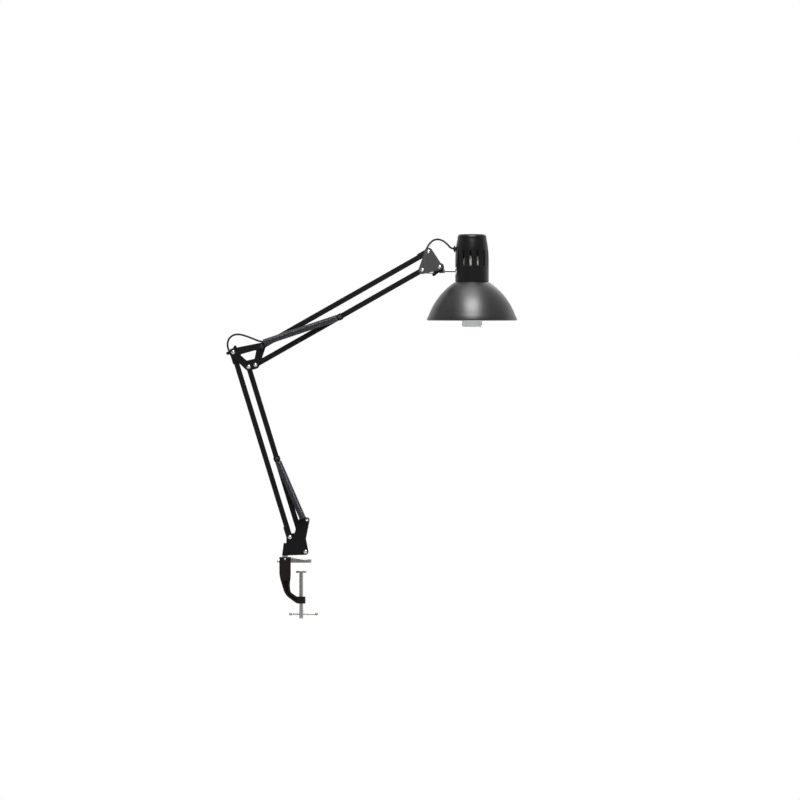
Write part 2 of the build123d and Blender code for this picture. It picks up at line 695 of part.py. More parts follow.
def at_head(piece):
    """Place a piece drawn round the head's own axis."""
    return Pos(HEAD_X, 0, HEAD_Z) * piece


def turned(outline):
    """Solid of revolution round the head's axis from a (radius, height) outline."""
    return revolve(Plane.XZ * outline, Axis.Z)


def side_bore(radius, height):
    """Cutter from the head's axis out through the housing's left side."""
    reach = 2 * HOUSING_R
    return Pos(0, 0, height) * Rot(0, -90, 0) * Cylinder(radius, reach, align=UPWARD)


def housing_outline(inset):
    """Housing wall outline, moved in by inset, from the floor up to the cap seam."""
    low, high = HOUSING_R - inset, HOUSING_SEAM_R - inset
    middle = ((low + high) / 2 + HOUSING_BULGE, (HOUSING_STRAIGHT + HOUSING_SEAM) / 2)
    edges = [
        Polyline((0, HOUSING_SEAM), (0, 0), (low, 0), (low, HOUSING_STRAIGHT)),
        ThreePointArc((low, HOUSING_STRAIGHT), middle, (high, HOUSING_SEAM)),
        Line((high, HOUSING_SEAM), (0, HOUSING_SEAM)),
    ]
    return make_face(edges)


def housing():
    """Moulded housing with vent slots, a flat seat for the bush and a floor that the lampholder clamps."""
    cavity = housing_outline(HOUSING_WALL) - Rectangle(4 * HOUSING_R, 2 * HOUSING_FLOOR)
    shell = turned(housing_outline(0) - cavity)
    shell -= Cylinder(HOLDER_R + RUNNING_FIT, 4 * HOUSING_FLOOR)
    flat = BUSH_R + SEAT_GAP
    behind = Box(2 * (BUSH_SEAT + HOUSING_WALL), 2 * HOUSING_R, 2 * (flat + HOUSING_WALL))
    bush_place = Pos(-HOUSING_R, 0, ROD_HEIGHT)
    shell += turned(housing_outline(0)) & (bush_place * behind)
    shell -= bush_place * Box(2 * BUSH_SEAT, 2 * HOUSING_R, 2 * flat)
    slot = SlotOverall(VENT_HIGH - VENT_LOW, VENT_WIDTH, rotation=90)
    cutter = extrude(Plane.YZ * Pos(0, (VENT_LOW + VENT_HIGH) / 2) * slot, 2 * HOUSING_R)
    for index in range(VENT_COUNT):
        turn = VENT_TURN + index * 360 / VENT_COUNT
        if abs(turn % 360 - ARM_SIDE) > VENT_KEEP_CLEAR:
            shell -= Rot(0, 0, turn) * cutter
    shell -= side_bore(BUSH_BARREL_R + RUNNING_FIT, ROD_HEIGHT)
    shell -= side_bore(GROMMET_NECK_R + RUNNING_FIT, GROMMET_HEIGHT)
    return at_head(shell)


def housing_radius(height):
    """Outer radius of the housing at a height, between its straight part and the seam."""
    low, high = HOUSING_R, HOUSING_SEAM_R
    share = (height - HOUSING_STRAIGHT) / (HOUSING_SEAM - HOUSING_STRAIGHT)
    return low + (high - low) * share + 4 * HOUSING_BULGE * share * (1 - share)


def top_cap():
    """Round-shouldered cap with a spigot inside the housing and a dished top for the switch."""
    top = HOUSING_SEAM + CAP_HEIGHT
    floor = SWITCH_HEIGHT
    shoulder = HOUSING_SEAM_R - CAP_TOP_R
    turn = (CAP_TOP_R + shoulder * sin(radians(45)), top - shoulder * (1 - cos(radians(45))))
    spigot_r = HOUSING_SEAM_R - HOUSING_WALL - RUNNING_FIT
    inner = spigot_r - CAP_WALL
    edges = [
        Polyline((HOUSING_SEAM_R, top - shoulder), (HOUSING_SEAM_R, HOUSING_SEAM), (spigot_r, HOUSING_SEAM),
                 (spigot_r, HOUSING_SEAM - CAP_SPIGOT), (inner, HOUSING_SEAM - CAP_SPIGOT),
                 (inner, floor - CAP_WALL), (0, floor - CAP_WALL), (0, floor), (CAP_DISH_R, floor),
                 (CAP_DISH_R + CAP_DISH_EDGE, top), (CAP_TOP_R, top)),
        ThreePointArc((CAP_TOP_R, top), turn, (HOUSING_SEAM_R, top - shoulder)),
    ]
    cap = turned(make_face(edges))
    hole = Box(SWITCH_LENGTH + 2 * RUNNING_FIT, SWITCH_WIDTH + 2 * RUNNING_FIT, 4 * CAP_WALL)
    return at_head(cap - Pos(0, 0, floor) * hole)


def switch_body():
    """Switch frame that snaps into the cap: a bezel on top and an open box below."""
    bezel = Box(SWITCH_LENGTH + 2 * SWITCH_RIM, SWITCH_WIDTH + 2 * SWITCH_RIM, SWITCH_BEZEL,
                align=UPWARD)
    bezel = chamfer(bezel.faces().sort_by(Axis.Z)[-1].edges(), SWITCH_BEZEL / 3)
    box = Box(SWITCH_LENGTH, SWITCH_WIDTH, SWITCH_DEPTH, align=DOWNWARD)
    well = Box(SWITCH_LENGTH - 2 * SWITCH_RIM, SWITCH_WIDTH - 2 * SWITCH_RIM, SWITCH_DEPTH)
    frame = bezel + box - well
    return at_head(Pos(0, 0, SWITCH_HEIGHT) * frame)


def rocker():
    """Rocker with a shallow V face, pressed down on its left side."""
    length = SWITCH_LENGTH - 2 * SWITCH_RIM - 2 * HAND_GAP
    width = SWITCH_WIDTH - 2 * SWITCH_RIM - 2 * HAND_GAP
    half = length / 2
    tilt = tan(radians(ROCKER_THROW / 2))
    face = Polygon(
        (-half * 0.8, -ROCKER_DEPTH), (half * 0.8, -ROCKER_DEPTH), (half * 0.94, ROCKER_CROWN),
        (0, ROCKER_CROWN - half * tilt), (-half * 0.94, ROCKER_CROWN), align=None,
    )
    key = slab(face, -width / 2, width / 2)
    reach = SWITCH_WIDTH / 2 - SWITCH_RIM - RUNNING_FIT
    pins = slab(Circle(ROCKER_PIVOT_R), -reach, reach)
    return at_head(Pos(0, 0, SWITCH_HEIGHT) * Rot(0, -ROCKER_THROW / 2, 0) * (key + pins))


def lead_grommet():
    """Rubber grommet where the lead enters the housing."""
    back = housing_radius(GROMMET_HEIGHT) - HOUSING_WALL - GROMMET_TAIL
    seat = housing_radius(GROMMET_HEIGHT - GROMMET_R) + SEAT_GAP
    lead_r = LEAD / 2 + RUNNING_FIT
    outline = Polygon(
        (-back, lead_r), (-back, GROMMET_NECK_R), (-seat, GROMMET_NECK_R), (-seat, GROMMET_R),
        (-seat - GROMMET_PROUD * 0.4, GROMMET_R), (-seat - GROMMET_PROUD, GROMMET_R * 0.6),
        (-seat - GROMMET_PROUD, lead_r), align=None,
    )
    return at_head(Pos(0, 0, GROMMET_HEIGHT) * revolve(outline, Axis.X))


def swivel_bush():
    """Bright domed bush that turns on the swivel rod."""
    wall = HOUSING_R - BUSH_SEAT
    tail = wall - HOUSING_WALL - BUSH_TAIL
    crown = -wall - BUSH_DOME
    bore = ROD_R + RUNNING_FIT
    edges = [
        Polyline((crown, bore * 1.3), (crown, bore), (-tail, bore), (-tail, BUSH_BARREL_R),
                 (-wall, BUSH_BARREL_R), (-wall, BUSH_R)),
        ThreePointArc((-wall, BUSH_R), (-wall - BUSH_DOME * 0.66, BUSH_R * 0.82), (crown, bore * 1.3)),
    ]
    return at_head(Pos(0, 0, ROD_HEIGHT) * revolve(make_face(edges), Axis.X))


def shade():
    """Spun bell shade: flat top, round shoulder and a short conical skirt, open below."""
    skirt_z = SHADE_SKIRT - SHADE_DEPTH
    edges = [
        Polyline((SHADE_RIM_R, -SHADE_DEPTH), (0, -SHADE_DEPTH), (0, 0), (SHADE_TOP_R, 0)),
        ThreePointArc((SHADE_TOP_R, 0), (SHADE_CHEST_R, -SHADE_CHEST), (SHADE_SKIRT_R, skirt_z)),
        Line((SHADE_SKIRT_R, skirt_z), (SHADE_RIM_R, -SHADE_DEPTH)),
    ]
    bell = turned(make_face(edges))
    bell = offset(bell, -SHADE_WALL, openings=bell.faces().sort_by(Axis.Z)[0])
    return at_head(bell - Cylinder(HOLDER_R + RUNNING_FIT, 4 * SHADE_WALL))


def lampholder():
    """Screw lampholder whose collar sits on the housing floor."""
    seat = HOUSING_FLOOR
    socket_top = seat + LAMP_CAP + LAMP_CONTACT + SEAT_GAP
    bore = LAMP_CAP_R + SOCKET_PLAY
    outline = Polygon(
        (HOLDER_MOUTH_R, -HOLDER_DROP), (HOLDER_R, -HOLDER_DROP), (HOLDER_R, seat), (HOLDER_COLLAR_R, seat),
        (HOLDER_COLLAR_R, seat + HOLDER_COLLAR), (HOLDER_BODY_R, seat + HOLDER_COLLAR),
        (HOLDER_BODY_R, HOLDER_SHOULDER), (HOLDER_TOP_R, HOLDER_RISE), (0, HOLDER_RISE),
        (0, socket_top), (bore, socket_top), (bore, seat), (HOLDER_MOUTH_R, seat), align=None,
    )
    return at_head(turned(outline))


def shade_ring():
    """Ring nut that clamps the shade and the housing against the lampholder's collar."""
    outline = Pos(HOLDER_R + RUNNING_FIT, -SHADE_WALL) * Rectangle(
        RING_R - HOLDER_R - RUNNING_FIT, RING, align=(Align.MIN, Align.MAX)
    )
    return at_head(chamfer(turned(outline).edges().sort_by(Axis.Z)[:2], RING_EDGE))


def lamp_cap():
    """Metal screw cap of the lamp with its centre contact."""
    seat = HOUSING_FLOOR
    top = seat + LAMP_CAP
    outline = Polygon(
        (0, seat), (LAMP_CAP_R, seat), (LAMP_CAP_R, top - LAMP_CONTACT), (LAMP_CONTACT_R, top),
        (LAMP_CONTACT_R, top + LAMP_CONTACT), (0, top + LAMP_CONTACT), align=None,
    )
    return at_head(turned(outline))


def lamp_bulb():
    """Frosted stick-shaped lamp: flat round-edged end, straight body and a neck."""
    seat = HOUSING_FLOOR
    outline = Polygon(
        (0, seat), (LAMP_NECK_R, seat), (LAMP_R, seat - LAMP_NECK), (LAMP_R, -LAMP_DROP), (0, -LAMP_DROP),
        align=None,
    )
    return at_head(fillet(turned(outline).edges().sort_by(Axis.Z)[0], LAMP_EDGE))


def lead(points, label):
    """Round lead along straight runs joined by tangent arcs as large as the runs allow."""
    points = [Vector(*point) for point in points]
    runs = [b - a for a, b in zip(points, points[1:])]
    turns = [a.get_angle(b) for a, b in zip(runs, runs[1:])]
    radii = [
        0.45 * min(a.length, b.length) / tan(radians(turn) / 2) for a, b, turn in zip(runs, runs[1:], turns)
    ]
    path = FilletPolyline(*points, radius=radii)
    print(label, "length", round(path.length, 1), "radii", [round(radius, 1) for radius in radii])
    return sweep(Plane(points[0], z_dir=runs[0]) * Circle(LEAD / 2), path)


# Routes of the lead from the lower tube to the lampholder
GROMMET_X = HEAD_X - housing_radius(GROMMET_HEIGHT)
GROMMET_Z = HEAD_Z + GROMMET_HEIGHT


def before(pivot, angle, place):
    """Point on an arm that is measured back from its far pivot."""
    return spot(pivot, angle, -place[0], place[1])


def loop(pivot, points):
    """Free points of the lead, measured from a pivot."""
    return [(pivot.X + point.X, 0, pivot.Y + point.Y) for point in points]


LOWER_TUBE_ROUTE = [
    spot(A1, LOWER_ANGLE, *LOWER_LEAD_ENTRY),
    before(P1, LOWER_ANGLE, LOWER_LEAD_BEND),
    before(P1, LOWER_ANGLE, LOWER_LEAD_EXIT),
]
ELBOW_LOOP = [
    LOWER_TUBE_ROUTE[-1],
    spot(P1, LOWER_ANGLE, *LOWER_LEAD_LIP),
    *loop(P1, ELBOW_LOOP_POINTS),
    spot(P4, UPPER_RISE_ANGLE, *UPPER_LEAD_LIP),
    spot(P4, UPPER_RISE_ANGLE, *UPPER_LEAD_ENTRY),
]
UPPER_TUBE_ROUTE = [
    ELBOW_LOOP[-1],
    spot(P4, UPPER_RISE_ANGLE, *UPPER_LEAD_BEND),
    before(H2, UPPER_RISE_ANGLE, UPPER_LEAD_RISE),
    before(H2, UPPER_RISE_ANGLE, UPPER_LEAD_EXIT),
]
HEAD_LOOP = [
    UPPER_TUBE_ROUTE[-1],
    before(H2, UPPER_RISE_ANGLE, HEAD_LEAD_LIP),
    *loop(H2, HEAD_LOOP_POINTS),
    (GROMMET_X - GROMMET_RUN, 0, GROMMET_Z),
    (GROMMET_X, 0, GROMMET_Z),
]
HOLDER_ROUTE = [
    HEAD_LOOP[-1],
    (HEAD_X - HOLDER_LEAD_BEND, 0, GROMMET_Z),
    (HEAD_X - HOLDER_LEAD_REACH, 0, GROMMET_Z - HOLDER_LEAD_DROP),
    (HEAD_X - HOLDER_LEAD_REACH, 0, HEAD_Z + HOLDER_RISE + SEAT_GAP),
]

lower_springs = spring_pair(EAR, LOWER_CLIP, None)
upper_springs = spring_pair(P4, UPPER_CLIP, PIVOT_R)

PIECES = {
    "clamp_frame": clamp_frame(),
    "upper_jaw": upper_jaw(),
    "jaw_screws": jaw_screws(),
    "spigot_set_screw": spigot_set_screw(),
    "pressure_pad": pressure_pad(),
    "clamp_spindle": clamp_spindle(),
    "tommy_bar": tommy_bar(),
    "base_bracket": base_bracket(),
    "swivel_spigot": swivel_spigot(),
    "base_rivets": [pivot_pin(A1), pivot_pin(A2)],
    "base_washers": pivot_washers(A1, A2),
    "lower_rear_tube": on_arm(A1, LOWER_ANGLE, arm_tube(LOWER_ARM_LENGTH, slotted=True)),
    "lower_lead_outlets": [on_arm(A1, LOWER_ANGLE, bezel) for bezel in lead_outlets(LOWER_ARM_LENGTH)],
    "lower_tube_lead": lead(LOWER_TUBE_ROUTE, "lower_tube_lead"),
    "lower_front_tube": on_arm(A2, LOWER_ANGLE, arm_tube(LOWER_ARM_LENGTH, pinned=True)),
    "lower_spring_clip": spring_clip(A2, LOWER_ANGLE),
    "lower_spring_pin": headed_pin(LOWER_CLIP, SPRING_PIN_R),
    "lower_spring_near": lower_springs[0],
    "lower_spring_far": lower_springs[1],
    "elbow_plate_near": elbow_plate(-1),
    "elbow_plate_far": elbow_plate(1),
    "elbow_bolt": pivot_pin(P1, far_head=False, reach=PLATE_OUT + KNOB_HEIGHT - SHEET),
    "elbow_rivets": [pivot_pin(P2), pivot_pin(P3)],
    "spring_anchor_pin": headed_pin(P4, PIVOT_R),
    "elbow_washers": pivot_washers(P1, P2, P3, P4),
    "elbow_knob": lobed_knob(),
    "elbow_lead_loop": lead(ELBOW_LOOP, "elbow_lead_loop"),
    "upper_top_tube": on_arm(P4, UPPER_RISE_ANGLE, arm_tube(UPPER_ARM_LENGTH, slotted=True)),
    "upper_lead_outlets": [on_arm(P4, UPPER_RISE_ANGLE, bezel) for bezel in lead_outlets(UPPER_ARM_LENGTH)],
    "upper_tube_lead": lead(UPPER_TUBE_ROUTE, "upper_tube_lead"),
    "upper_bottom_tube": on_arm(P3, UPPER_RISE_ANGLE, arm_tube(UPPER_ARM_LENGTH, pinned=True)),
    "upper_spring_clip": spring_clip(P3, UPPER_RISE_ANGLE),
    "upper_spring_pin": headed_pin(UPPER_CLIP, SPRING_PIN_R),
    "upper_spring_near": upper_springs[0],
    "upper_spring_far": upper_springs[1],
    "head_bracket": head_bracket(),
    "head_rivets": [pivot_pin(H1), pivot_pin(H2)],
    "head_washers": pivot_washers(H1, H2),
    "tilt_bolt": pivot_pin(TILT, far_head=False, reach=PLATE_OUT + KNOB_HEIGHT - SHEET),
    "tilt_lever": tilt_lever(),
    "tilt_block": tilt_block(),
    "swivel_rod": swivel_rod(),
    "rod_lock_nut": hex_nut(TILT.X + ROD_BOSS_END + SEAT_GAP + LOCK_NUT, LOCK_NUT_R, LOCK_NUT),
    "rod_nut": hex_nut(rod_end(), ROD_NUT_R, ROD_NUT),
    "head_lead_loop": lead(HEAD_LOOP, "head_lead_loop"),
    "housing": housing(),
    "top_cap": top_cap(),
    "switch_body": switch_body(),
    "rocker": rocker(),
    "lead_grommet": lead_grommet(),
    "swivel_bush": swivel_bush(),
    "shade": shade(),
    "shade_ring": shade_ring(),
    "lampholder": lampholder(),
    "lampholder_lead": lead(HOLDER_ROUTE, "lampholder_lead"),
    "lamp_cap": lamp_cap(),
    "lamp_bulb": lamp_bulb(),
}

os.makedirs("parts", exist_ok=True)
for name, piece in PIECES.items():
    solids = piece if isinstance(piece, list) else [piece]
    export_step(Compound(children=[Compound(solid.solids()) for solid in solids]), f"parts/{name}.step")
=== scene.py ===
"""Architect desk lamp, dressed: enamel, plate and castings, coiled springs, leads and the spun shade."""
from math import atan, atan2, cos, hypot, pi, radians, sin

import bpy
import numpy as np
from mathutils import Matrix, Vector


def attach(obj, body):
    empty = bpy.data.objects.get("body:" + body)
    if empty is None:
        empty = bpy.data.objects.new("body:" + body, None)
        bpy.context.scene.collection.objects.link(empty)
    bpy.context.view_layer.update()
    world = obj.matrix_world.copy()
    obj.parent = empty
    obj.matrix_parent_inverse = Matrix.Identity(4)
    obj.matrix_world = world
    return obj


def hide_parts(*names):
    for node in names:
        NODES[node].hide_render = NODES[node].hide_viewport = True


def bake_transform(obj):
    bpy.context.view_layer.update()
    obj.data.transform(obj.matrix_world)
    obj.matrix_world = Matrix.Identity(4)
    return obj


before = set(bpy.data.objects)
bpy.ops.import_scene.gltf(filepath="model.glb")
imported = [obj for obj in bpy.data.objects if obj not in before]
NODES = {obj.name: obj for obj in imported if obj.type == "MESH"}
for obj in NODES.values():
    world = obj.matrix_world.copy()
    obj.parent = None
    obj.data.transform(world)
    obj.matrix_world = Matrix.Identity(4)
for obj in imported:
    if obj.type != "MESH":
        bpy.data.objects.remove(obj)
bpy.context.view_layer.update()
MM = 0.001

# Sizes of the lamp in millimetres and degrees, the same as the solids have.
LOWER_LEAN = 17.07
UPPER_RISE = 29.6
LOWER_ARM = 363.8
UPPER_ARM = 361.1
LOWER_PIVOT = Vector((-21.2, 0, 47.9))
BASE_LINK = Vector((29.1, 0, -27.4))
SPRING_EAR = Vector((3.0, 0, 59.8))
ELBOW_STEP = Vector((12.8, 0, 3.6))
HEAD_LINK = Vector((11.7, 0, 34.4))
SPRING_ANCHOR_LENGTH = 183.0
TILT_OFFSET = Vector((32.7, 0, 5.6))
ROD_DROP = 7.1
HEAD_REACH = 60.5
ROD_HEIGHT = 19.8
SPRING_Y = 14.1
SPRING_R = 6.3
SPRING_WIRE = 1.3
SPRING_TAIL = 6.0
SPRING_PITCH = 1.5
HOOK_END_Y = 5.6
ANCHOR_PIN_R = 2.0
CLIP_PIN_R = 1.5
EYE_PLAY = 0.3
LEAD_R = 1.8
GROMMET_HEIGHT = 61.1
GROMMET_REACH = 30.45
SHADE_WALL = 1.2
BRACKET_FACE_Y = 7.0
SPINDLE_TOP = -19.2
SPINDLE_LENGTH = 86.0
SPINDLE_R = 4.0
SPINDLE_TIP_R = 3.0
SPINDLE_PLAIN_END = 16.0
THREAD_ROOT_R = 3.35
THREAD_PITCH = 1.25
THREAD_TURNS = 53

# Places that follow from the sizes: the pivots A1 to H2, the spring anchors and the head.
A1 = LOWER_PIVOT
A2 = A1 + BASE_LINK
EAR = A2 + SPRING_EAR
LOWER_WAY = Vector((-sin(radians(LOWER_LEAN)), 0, cos(radians(LOWER_LEAN))))
UPPER_WAY = Vector((cos(radians(UPPER_RISE)), 0, sin(radians(UPPER_RISE))))
LOWER_OUT = Vector((-LOWER_WAY.z, 0, LOWER_WAY.x))
UPPER_OUT = Vector((-UPPER_WAY.z, 0, UPPER_WAY.x))
P1 = A1 + LOWER_WAY * LOWER_ARM
P3 = P1 + BASE_LINK + ELBOW_STEP
P4 = P3 + HEAD_LINK
H1 = P3 + UPPER_WAY * UPPER_ARM
H2 = H1 + HEAD_LINK
TILT = H1 + TILT_OFFSET
HEAD_X = TILT.x + HEAD_REACH
HEAD_Z = TILT.z - ROD_DROP - ROD_HEIGHT
LOWER_CLIP = A2 + LOWER_WAY * SPRING_ANCHOR_LENGTH
UPPER_CLIP = P3 + UPPER_WAY * SPRING_ANCHOR_LENGTH
SPRING_RIM = SPRING_R - 0.4 * SPRING_WIRE
SPRING_WINDING_R = SPRING_R - SPRING_WIRE / 2

# The studio, in metres.
CAMERA_AT = (0.1857, -30.0, 0.3059)
CAMERA_LENS = 718
FLOOR_SIZE = 40
FLOOR_Z = -0.75


def linear(hex_colour):
    """sRGB hex to the linear colour that a shader socket takes."""
    values = [int(hex_colour[i:i + 2], 16) / 255 for i in (1, 3, 5)]
    return [v / 12.92 if v <= 0.04045 else ((v + 0.055) / 1.055) ** 2.4 for v in values] + [1.0]


def add(tree, kind, settings=(), links=()):
    """One node with its settings, and links from other nodes' sockets into its inputs."""
    made = tree.nodes.new(kind)
    for name, value in dict(settings).items():
        if isinstance(name, int) or name in made.inputs:
            made.inputs[name].default_value = value
        else:
            setattr(made, name, value)
    for name, source in dict(links).items():
        tree.links.new(source, made.inputs[name])
    return made


def start(name):
    """A new material with its shader and its object coordinates."""
    material = bpy.data.materials.new(name)
    material.use_nodes = True
    tree = material.node_tree
    shader = tree.nodes["Principled BSDF"]
    place = add(tree, "ShaderNodeTexCoord").outputs["Object"]
    return material, tree, shader, place


def black_powder_coat(name, dark, light, rough):
    """Powder coat on sheet steel: the fine orange peel breaks up highlights and leaves them soft."""
    material, tree, shader, place = start(name)
    shader.inputs["Specular IOR Level"].default_value = 0.16
    # A peel cell is about 1.2 mm across, and the coat's cloudy patches are about 17 mm.
    peel = add(tree, "ShaderNodeTexNoise", {"Scale": 850.0, "Detail": 2.0}, {"Vector": place})
    cloud = add(tree, "ShaderNodeTexNoise", {"Scale": 60.0, "Detail": 3.0}, {"Vector": place})
    tone = add(tree, "ShaderNodeMix", {"data_type": "RGBA", 6: linear(dark), 7: linear(light)},
               {0: cloud.outputs["Fac"]})
    gloss = add(tree, "ShaderNodeMapRange", {"To Min": rough - 0.05, "To Max": rough + 0.06},
                {"Value": cloud.outputs["Fac"]})
    bump = add(tree, "ShaderNodeBump", {"Strength": 0.12, "Distance": 0.12 * MM},
               {"Height": peel.outputs["Fac"]})
    tree.links.new(tone.outputs[2], shader.inputs["Base Color"])
    tree.links.new(gloss.outputs["Result"], shader.inputs["Roughness"])
    tree.links.new(bump.outputs["Normal"], shader.inputs["Normal"])
    return material


def powder_coat_painted_sheen():
    """Black powder coat with a grey sheen painted on the plates' flat faces, a painted reflection; the edges
    and the web stay black.
    """
    material = black_powder_coat("powder_coat_painted_sheen", "#343435", "#3e3e3f", 0.5)
    tree = material.node_tree
    shader = tree.nodes["Principled BSDF"]
    at = add(tree, "ShaderNodeSeparateXYZ", {}, {"Vector": add(tree, "ShaderNodeTexCoord").outputs["Object"]})
    depth = add(tree, "ShaderNodeMath", {"operation": "ABSOLUTE"}, {0: at.outputs["Y"]})
    # Only the outer 0.1 mm of each plate, its face, gets the painted grey sheen.
    black, sheen_full_depth = (BRACKET_FACE_Y - 0.1) * MM, (BRACKET_FACE_Y - 0.05) * MM
    face = add(tree, "ShaderNodeMapRange", {"From Min": black, "From Max": sheen_full_depth}, {"Value": depth.outputs[0]})
    grey = shader.inputs["Base Color"].links[0].from_socket
    tone = add(tree, "ShaderNodeMix", {"data_type": "RGBA", 6: linear("#0b0b0b")},
               {0: face.outputs["Result"], 7: grey})
    tree.links.new(tone.outputs[2], shader.inputs["Base Color"])
    return material


def shade_enamel():
    """Baked black enamel on spun aluminium: smooth, with one broad soft highlight and faint rings."""
    material, tree, shader, place = start("black_baked_enamel")
    shader.inputs["Specular IOR Level"].default_value = 0.42
    shader.inputs["Coat Weight"].default_value = 0.2
    shader.inputs["Coat Roughness"].default_value = 0.3
    # The spinning tool's rings are drawn 6 mm apart, coarser than the real ones, so that they show.
    rings = add(tree, "ShaderNodeTexWave", {"wave_type": "BANDS", "bands_direction": "Z", "Scale": 52.0,
                                            "Distortion": 0.4, "Detail": 1.0}, {"Vector": place})
    dust = add(tree, "ShaderNodeTexNoise", {"Scale": 300.0, "Detail": 4.0}, {"Vector": place})
    tone = add(tree, "ShaderNodeMix", {"data_type": "RGBA", 6: linear("#121213"), 7: linear("#171718")},
               {0: dust.outputs["Fac"]})
    gloss = add(tree, "ShaderNodeMapRange", {"To Min": 0.36, "To Max": 0.42}, {"Value": dust.outputs["Fac"]})
    bump = add(tree, "ShaderNodeBump", {"Strength": 0.05, "Distance": 0.05 * MM},
               {"Height": rings.outputs["Fac"]})
    tree.links.new(tone.outputs[2], shader.inputs["Base Color"])
    tree.links.new(gloss.outputs["Result"], shader.inputs["Roughness"])
    tree.links.new(bump.outputs["Normal"], shader.inputs["Normal"])
    return material


def reflector_white():
    """White enamel inside the shade: matt and bright, so that it spreads the light."""
    material, tree, shader, place = start("white_reflector_enamel")
    # The sprayed skin ripples about every 2 mm.
    grain = add(tree, "ShaderNodeTexNoise", {"Scale": 500.0, "Detail": 3.0}, {"Vector": place})
    tone = add(tree, "ShaderNodeMix", {"data_type": "RGBA", 6: linear("#e4e4e0"), 7: linear("#efefec")},
               {0: grain.outputs["Fac"]})
    bump = add(tree, "ShaderNodeBump", {"Strength": 0.06, "Distance": 0.1 * MM},
               {"Height": grain.outputs["Fac"]})
    shader.inputs["Roughness"].default_value = 0.5
    tree.links.new(tone.outputs[2], shader.inputs["Base Color"])
    tree.links.new(bump.outputs["Normal"], shader.inputs["Normal"])
    return material


def clamp_casting():
    """Brown-black enamel over a sand casting: the sand's grain shows as a pebbled, half-dull skin."""
    material, tree, shader, place = start("cast_iron_brown_black")
    shader.inputs["Specular IOR Level"].default_value = 0.18
    # Sand grains read as pebbles about 2 mm across under the paint.
    pebbles = add(tree, "ShaderNodeTexVoronoi", {"Scale": 480.0, "feature": "SMOOTH_F1"}, {"Vector": place})
    blush = add(tree, "ShaderNodeTexNoise", {"Scale": 70.0, "Detail": 4.0}, {"Vector": place})
    tone = add(tree, "ShaderNodeMix", {"data_type": "RGBA", 6: linear("#0b0706"), 7: linear("#160f0e")},
               {0: blush.outputs["Fac"]})
    gloss = add(tree, "ShaderNodeMapRange", {"To Min": 0.38, "To Max": 0.6}, {"Value": blush.outputs["Fac"]})
    bump = add(tree, "ShaderNodeBump", {"Strength": 0.3, "Distance": 0.4 * MM},
               {"Height": pebbles.outputs["Distance"]})
    tree.links.new(tone.outputs[2], shader.inputs["Base Color"])
    tree.links.new(gloss.outputs["Result"], shader.inputs["Roughness"])
    tree.links.new(bump.outputs["Normal"], shader.inputs["Normal"])
    return material


def bright_plate(name, dark, light, rough, streak):
    """Zinc or nickel plate on turned steel: bright, with fine tool marks round or along the piece."""
    material, tree, shader, place = start(name)
    shader.inputs["Metallic"].default_value = 1.0
    # Tool marks are drawn 0.4 or 0.7 mm apart, coarser than the real ones, so that they show.
    drawn = add(tree, "ShaderNodeMapping", {"Scale": streak}, {"Vector": place})
    marks = add(tree, "ShaderNodeTexNoise", {"Scale": 1.0, "Detail": 3.0},
                {"Vector": drawn.outputs["Vector"]})
    film = add(tree, "ShaderNodeTexNoise", {"Scale": 140.0, "Detail": 4.0}, {"Vector": place})
    tone = add(tree, "ShaderNodeMix", {"data_type": "RGBA", 6: linear(dark), 7: linear(light)},
               {0: film.outputs["Fac"]})
    gloss = add(tree, "ShaderNodeMapRange", {"To Min": rough * 0.7, "To Max": rough * 1.4},
                {"Value": marks.outputs["Fac"]})
    bump = add(tree, "ShaderNodeBump", {"Strength": 0.05, "Distance": 0.05 * MM},
               {"Height": marks.outputs["Fac"]})
    tree.links.new(tone.outputs[2], shader.inputs["Base Color"])
    tree.links.new(gloss.outputs["Result"], shader.inputs["Roughness"])
    tree.links.new(bump.outputs["Normal"], shader.inputs["Normal"])
    return material


def spring_wire():
    """Oil-blackened spring steel: dark metal whose coils catch thin lines of light."""
    material, tree, shader, place = start("oil_blackened_spring_steel")
    shader.inputs["Metallic"].default_value = 0.9
    # The oil's film darkens in patches about 4.5 mm long.
    film = add(tree, "ShaderNodeTexNoise", {"Scale": 220.0, "Detail": 4.0}, {"Vector": place})
    tone = add(tree, "ShaderNodeMix", {"data_type": "RGBA", 6: linear("#2a2a2c"), 7: linear("#5c5d61")},
               {0: film.outputs["Fac"]})
    gloss = add(tree, "ShaderNodeMapRange", {"To Min": 0.26, "To Max": 0.4}, {"Value": film.outputs["Fac"]})
    tree.links.new(tone.outputs[2], shader.inputs["Base Color"])
    tree.links.new(gloss.outputs["Result"], shader.inputs["Roughness"])
    return material


def moulded_plastic(name, dark, light, rough, shine, grain_scale, grain_depth):
    """Injection-moulded thermoplastic: an even skin with a fine spark-eroded grain."""
    material, tree, shader, place = start(name)
    shader.inputs["Specular IOR Level"].default_value = shine
    # The grain is drawn 0.6 to 1.1 mm wide, coarser than the real one, so that it shows.
    grain = add(tree, "ShaderNodeTexNoise", {"Scale": grain_scale, "Detail": 2.0}, {"Vector": place})
    flow = add(tree, "ShaderNodeTexNoise", {"Scale": 40.0, "Detail": 2.0}, {"Vector": place})
    tone = add(tree, "ShaderNodeMix", {"data_type": "RGBA", 6: linear(dark), 7: linear(light)},
               {0: flow.outputs["Fac"]})
    gloss = add(tree, "ShaderNodeMapRange", {"To Min": rough - 0.05, "To Max": rough + 0.05},
                {"Value": flow.outputs["Fac"]})
    bump = add(tree, "ShaderNodeBump", {"Strength": 0.15, "Distance": grain_depth * MM},
               {"Height": grain.outputs["Fac"]})
    tree.links.new(tone.outputs[2], shader.inputs["Base Color"])
    tree.links.new(gloss.outputs["Result"], shader.inputs["Roughness"])
    tree.links.new(bump.outputs["Normal"], shader.inputs["Normal"])
    return material


